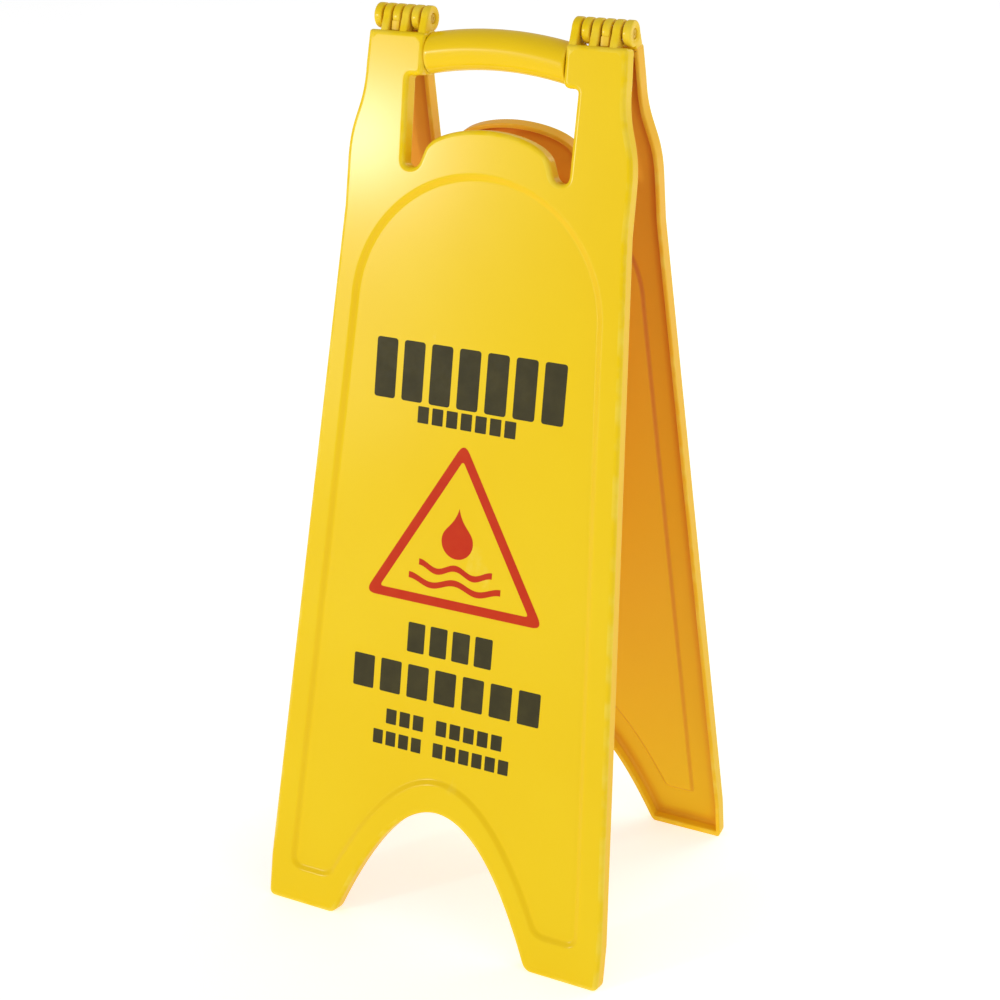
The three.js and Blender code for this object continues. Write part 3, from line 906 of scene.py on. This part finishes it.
class Nodes:
    """A short way to write a material's nodes."""

    def __init__(self, name):
        self.material = bpy.data.materials.new(name)
        self.material.use_nodes = True
        self.tree = self.material.node_tree
        self.shader = self.tree.nodes["Principled BSDF"]
        self.place = self.add("ShaderNodeTexCoord").outputs["Object"]

    def add(self, kind, **values):
        node = self.tree.nodes.new(kind)
        for key, value in values.items():
            setattr(node, key, value)
        return node

    def link(self, source, target):
        if isinstance(source, (int, float)):
            target.default_value = source
        else:
            self.tree.links.new(source, target)

    def noise(self, scale, detail=3.0, roughness=0.5, stretch=(1, 1, 1)):
        place = self.place
        if stretch != (1, 1, 1):
            mapping = self.add("ShaderNodeMapping")
            mapping.inputs["Scale"].default_value = stretch
            self.link(place, mapping.inputs["Vector"])
            place = mapping.outputs["Vector"]
        node = self.add("ShaderNodeTexNoise")
        node.inputs["Scale"].default_value = scale
        node.inputs["Detail"].default_value = detail
        node.inputs["Roughness"].default_value = roughness
        self.link(place, node.inputs["Vector"])
        return node.outputs["Fac"]

    def spread(self, value, low, high, to_low=0.0, to_high=1.0):
        node = self.add("ShaderNodeMapRange")
        for key, number in (
            ("From Min", low),
            ("From Max", high),
            ("To Min", to_low),
            ("To Max", to_high),
        ):
            node.inputs[key].default_value = number
        self.link(value, node.inputs["Value"])
        return node.outputs["Result"]

    def math(self, operation, a, b):
        node = self.add("ShaderNodeMath", operation=operation)
        self.link(a, node.inputs[0])
        self.link(b, node.inputs[1])
        return node.outputs[0]

    def mix(self, share, a, b):
        node = self.add("ShaderNodeMix", data_type="RGBA")
        self.link(share, node.inputs["Factor"])
        for source, target in ((a, node.inputs["A"]), (b, node.inputs["B"])):
            if isinstance(source, tuple):
                target.default_value = (*source, 1)
            else:
                self.link(source, target)
        return node.outputs["Result"]

    def attribute(self, name):
        return self.add("ShaderNodeAttribute", attribute_name=name).outputs["Fac"]

    def bump(self, layers):
        """layers are pairs of a height and the depth that it stands for, in metres."""
        normal = None
        for height, depth in layers:
            node = self.add("ShaderNodeBump")
            node.inputs["Strength"].default_value = 1
            node.inputs["Distance"].default_value = depth
            self.link(height, node.inputs["Height"])
            if normal is not None:
                self.link(normal, node.inputs["Normal"])
            normal = node.outputs["Normal"]
        self.link(normal, self.shader.inputs["Normal"])


def moulded_plastic(name, colour, deep, worn, roughness, specular, skin, inner=None):
    """Injection-moulded plastic: a slow drift of colour, a fine spark-eroded texture,
    faint flow waves, edges rubbed lighter and a few hair scratches. skin is the share of
    the smooth moulded surface over the duller body. inner has the tints of painted shade on the
    hollow side and of deeper painted shade in its corners, which grow towards the top, where the
    panels meet."""
    n = Nodes(name)
    drift = n.spread(n.noise(9, 2), 0.35, 0.65)
    base = n.mix(drift, deep, colour)
    if inner is not None:
        # painted shade, stronger towards the top, where the panels close in
        height = n.add("ShaderNodeSeparateXYZ")
        n.link(n.place, height.inputs[0])
        shade_towards_top = n.spread(height.outputs["Z"], 0.02, 0.5, 0.35, 1)
        depth = n.attribute("depth")
        # the hollow side's painted shade, and the deeper painted shade of its corners and creases
        hollow = n.math("MULTIPLY", n.spread(depth, 0, 1), shade_towards_top)
        corner = n.math("MULTIPLY", n.spread(depth, 1, 2), shade_towards_top)
        base = n.mix(corner, n.mix(hollow, base, inner[0]), inner[1])
        n.link(n.spread(depth, 0, 1, skin, skin * HOLLOW_SKIN), n.shader.inputs["Coat Weight"])
    rub = n.math("MULTIPLY", n.attribute("wear"), n.spread(n.noise(60, 4), 0.45, 0.75))
    scratch = n.spread(n.noise(40, 2, 0.6, (1, 1, 0.06)), 0.665, 0.69)
    scuff = n.spread(n.noise(26, 5, 0.7), 0.6, 0.75)
    marks = n.math("MULTIPLY", scratch, scuff)
    marks = n.math("MAXIMUM", n.math("MULTIPLY", rub, RUB), n.math("MULTIPLY", marks, SCRATCH))
    n.link(n.mix(marks, base, worn), n.shader.inputs["Base Color"])
    uneven = n.spread(n.noise(24, 3, 0.5), 0.3, 0.7, roughness - 0.02, roughness + 0.025)
    n.link(n.math("ADD", uneven, n.math("MULTIPLY", marks, 0.12)), n.shader.inputs["Roughness"])
    n.shader.inputs["Specular IOR Level"].default_value = specular
    if inner is None:
        n.shader.inputs["Coat Weight"].default_value = skin
    n.shader.inputs["Coat Roughness"].default_value = COAT_ROUGHNESS
    n.bump([(n.noise(11, 1), SWELL), (n.noise(1500, 2), 0.00002)])
    return n.material


def ink_layer(name, colour, faded):
    """Screen-printed ink: a little uneven, with the odd pinhole."""
    n = Nodes(name)
    cloud = n.spread(n.noise(70, 4, 0.6), 0.35, 0.7)
    pinholes = n.spread(n.noise(900, 2, 0.5), 0.72, 0.78)
    n.link(
        n.mix(n.math("MAXIMUM", n.math("MULTIPLY", cloud, 0.5), pinholes), colour, faded),
        n.shader.inputs["Base Color"],
    )
    n.link(n.spread(n.noise(260, 3), 0.3, 0.7, 0.38, 0.52), n.shader.inputs["Roughness"])
    n.shader.inputs["Specular IOR Level"].default_value = 0.1
    n.bump([(n.noise(11, 1), SWELL), (n.noise(2200, 2), 0.000008)])
    return n.material


def zinc_steel(name):
    """Zinc-plated steel with fine turning marks and a faint bloom."""
    n = Nodes(name)
    bloom = n.spread(n.noise(300, 4, 0.6), 0.35, 0.7)
    n.link(n.mix(bloom, (0.56, 0.57, 0.58), (0.42, 0.43, 0.44)), n.shader.inputs["Base Color"])
    n.link(n.spread(n.noise(900, 3), 0.3, 0.7, 0.25, 0.42), n.shader.inputs["Roughness"])
    n.shader.inputs["Metallic"].default_value = 1
    n.bump([(n.noise(2600, 2, 0.5, (1, 6, 1)), 0.00002)])
    return n.material


PANEL_PLASTIC = moulded_plastic(
    "panel_plastic",
    colour=(0.855, 0.59, 0.005),
    deep=(0.845, 0.57, 0.003),
    worn=(0.9, 0.72, 0.12),
    roughness=0.34,
    specular=0.05,
    skin=0.24,
    # tints of painted shade: on the hollow side, then in its corners
    inner=((0.89, 0.44, 0.045), (0.7, 0.22, 0.03)),
)
GRIP_PLASTIC = moulded_plastic(
    "grip_plastic",
    colour=(0.855, 0.575, 0.005),
    deep=(0.845, 0.555, 0.003),
    worn=(0.9, 0.7, 0.1),
    roughness=0.3,
    specular=0.08,
    skin=0.26,
)
PIN_PLASTIC = moulded_plastic(
    "pin_plastic",
    colour=(0.68, 0.41, 0.01),
    deep=(0.6, 0.35, 0.008),
    worn=(0.8, 0.55, 0.08),
    roughness=0.45,
    specular=0.2,
    skin=0.1,
)
INK_DARK = ink_layer("ink_dark", (0.045, 0.038, 0.014), (0.075, 0.062, 0.02))
INK_RED = ink_layer("ink_red", (0.54, 0.028, 0.005), (0.6, 0.05, 0.006))
SCREW_STEEL = zinc_steel("screw_steel")


# ---- The pieces ------------------------------------------------------------------------

FRONT = panel_matrix(0)
REAR = panel_matrix(math.pi)

front_panel = Shape()
tray(front_panel, panel_outline(True), FRONT_FLANGE_SHADE)
level_feet(front_panel)
comb(front_panel, 0)
bosses(front_panel)
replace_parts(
    front_panel.build("front_panel_moulding", FRONT, "front", PANEL_PLASTIC),
    "front_panel",
)

rear_panel = Shape()
tray(rear_panel, panel_outline(False), REAR_FLANGE_SHADE)
level_feet(rear_panel)
comb(rear_panel, 1)
stop_heels(rear_panel)
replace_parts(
    rear_panel.build("rear_panel_moulding", REAR, "rear", PANEL_PLASTIC),
    "rear_panel",
)

for node, side, with_screws in (("handle_front_shell", 1, False), ("handle_rear_shell", -1, True)):
    shell = Shape()
    grip_shell(shell, side, with_screws)
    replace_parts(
        shell.build(node + "_moulding", FRONT, "front", GRIP_PLASTIC), node
    )

for hand, side in (("left", -1), ("right", 1)):
    head = Shape()
    screw(head, side * SCREW_X)
    piece = head.build("grip_screw_" + hand, FRONT, "front", SCREW_STEEL, 35)
    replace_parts(piece, "handle_screw_" + hand)
    pin = Shape()
    hinge_pin(pin, side)
    piece = pin.build("comb_pin_" + hand, FRONT, "front", PIN_PLASTIC)
    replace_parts(piece, "hinge_pin_" + hand)

for body, matrix in (("front", FRONT), ("rear", REAR)):
    blocks = Shape()
    rows_of_blocks(blocks)
    blocks.build(body + "_print_rows", matrix, body, INK_DARK)
    triangle = Shape()
    triangle_sign(triangle)
    triangle.build(body + "_print_triangle", matrix, body, INK_RED)


# ---- Floor, light and camera --------------------------------------------------------------

FLOOR_HALF = 14
FLOOR_COLOUR = (0.86, 0.86, 0.86)
FLOOR_GLOW = 0.47  # the floor's own light, which keeps it near white
SKY = 0.56
# Each light: name, place, target, width, height and power
LIGHTS = (
    ("key", (-1.43, -2.235, 0.78), (-0.09, 0, 0.5), 0.15, 0.14, 11.5),
    ("glow", (-1.55, -2.15, 0.58), (0, 0, 0.35), 0.7, 0.8, 8),
    ("side_fill", (2.2, -0.6, 0.9), (0, 0, 0.3), 1.5, 1.5, 6),
    ("back", (1.5, 3.2, 2.2), (0, 0.5, 0), 2.5, 2.5, 40),
)


def studio_floor():
    mesh = bpy.data.meshes.new("floor")
    corners = [(-1, -1), (1, -1), (1, 1), (-1, 1)]
    mesh.from_pydata([(x * FLOOR_HALF, y * FLOOR_HALF, 0) for x, y in corners], [], [(0, 1, 2, 3)])
    n = Nodes("floor_paint")
    paler = tuple(c + 0.03 for c in FLOOR_COLOUR)
    n.link(n.mix(n.noise(3, 2), FLOOR_COLOUR, paler), n.shader.inputs["Base Color"])
    n.shader.inputs["Roughness"].default_value = 0.8
    n.shader.inputs["Specular IOR Level"].default_value = 0.2
    n.shader.inputs["Emission Color"].default_value = (1, 1, 1, 1)
    n.shader.inputs["Emission Strength"].default_value = FLOOR_GLOW
    mesh.materials.append(n.material)
    floor = bpy.data.objects.new("floor", mesh)
    bpy.context.scene.collection.objects.link(floor)


def soft_light(name, place, target, width, height, power):
    data = bpy.data.lights.new(name, "AREA")
    data.shape = "RECTANGLE"
    data.size, data.size_y = width, height
    data.energy = power
    light = bpy.data.objects.new(name, data)
    bpy.context.scene.collection.objects.link(light)
    light.location = place
    aim = Vector(target) - light.location
    light.rotation_euler = aim.to_track_quat("-Z", "Y").to_euler()


def sky(strength):
    """Even white light from all round, in front of a white background."""
    world = bpy.data.worlds.new("studio")
    bpy.context.scene.world = world
    world.use_nodes = True
    background = world.node_tree.nodes["Background"]
    background.inputs["Color"].default_value = (1, 1, 1, 1)
    seen = world.node_tree.nodes.new("ShaderNodeLightPath").outputs["Is Camera Ray"]
    level = world.node_tree.nodes.new("ShaderNodeMapRange")
    level.inputs["To Min"].default_value = strength
    world.node_tree.links.new(seen, level.inputs["Value"])
    world.node_tree.links.new(level.outputs["Result"], background.inputs["Strength"])


def camera(azimuth, elevation, distance, target, focal_pixels, frame_pixels=1000):
    """A camera that looks at the target from so far round the front, and so far above it."""
    data = bpy.data.cameras.new("camera")
    data.sensor_width = 36
    data.lens = focal_pixels / frame_pixels * data.sensor_width
    data.clip_start, data.clip_end = 0.01, 50
    eye = bpy.data.objects.new("camera", data)
    bpy.context.scene.collection.objects.link(eye)
    a, e = math.radians(azimuth), math.radians(elevation)
    back = Vector((math.sin(a) * math.cos(e), -math.cos(a) * math.cos(e), math.sin(e)))
    eye.location = Vector(target) + back * distance
    eye.rotation_euler = (-back).to_track_quat("-Z", "Y").to_euler()
    bpy.context.scene.camera = eye


studio_floor()
sky(SKY)
for light in LIGHTS:
    soft_light(*light)
camera(
    azimuth=27.39,
    elevation=21.66,
    distance=1.33271,
    target=(-0.00265, 0, 0.28269),
    focal_pixels=1969.47,
)
bpy.context.scene.view_settings.view_transform = "Standard"
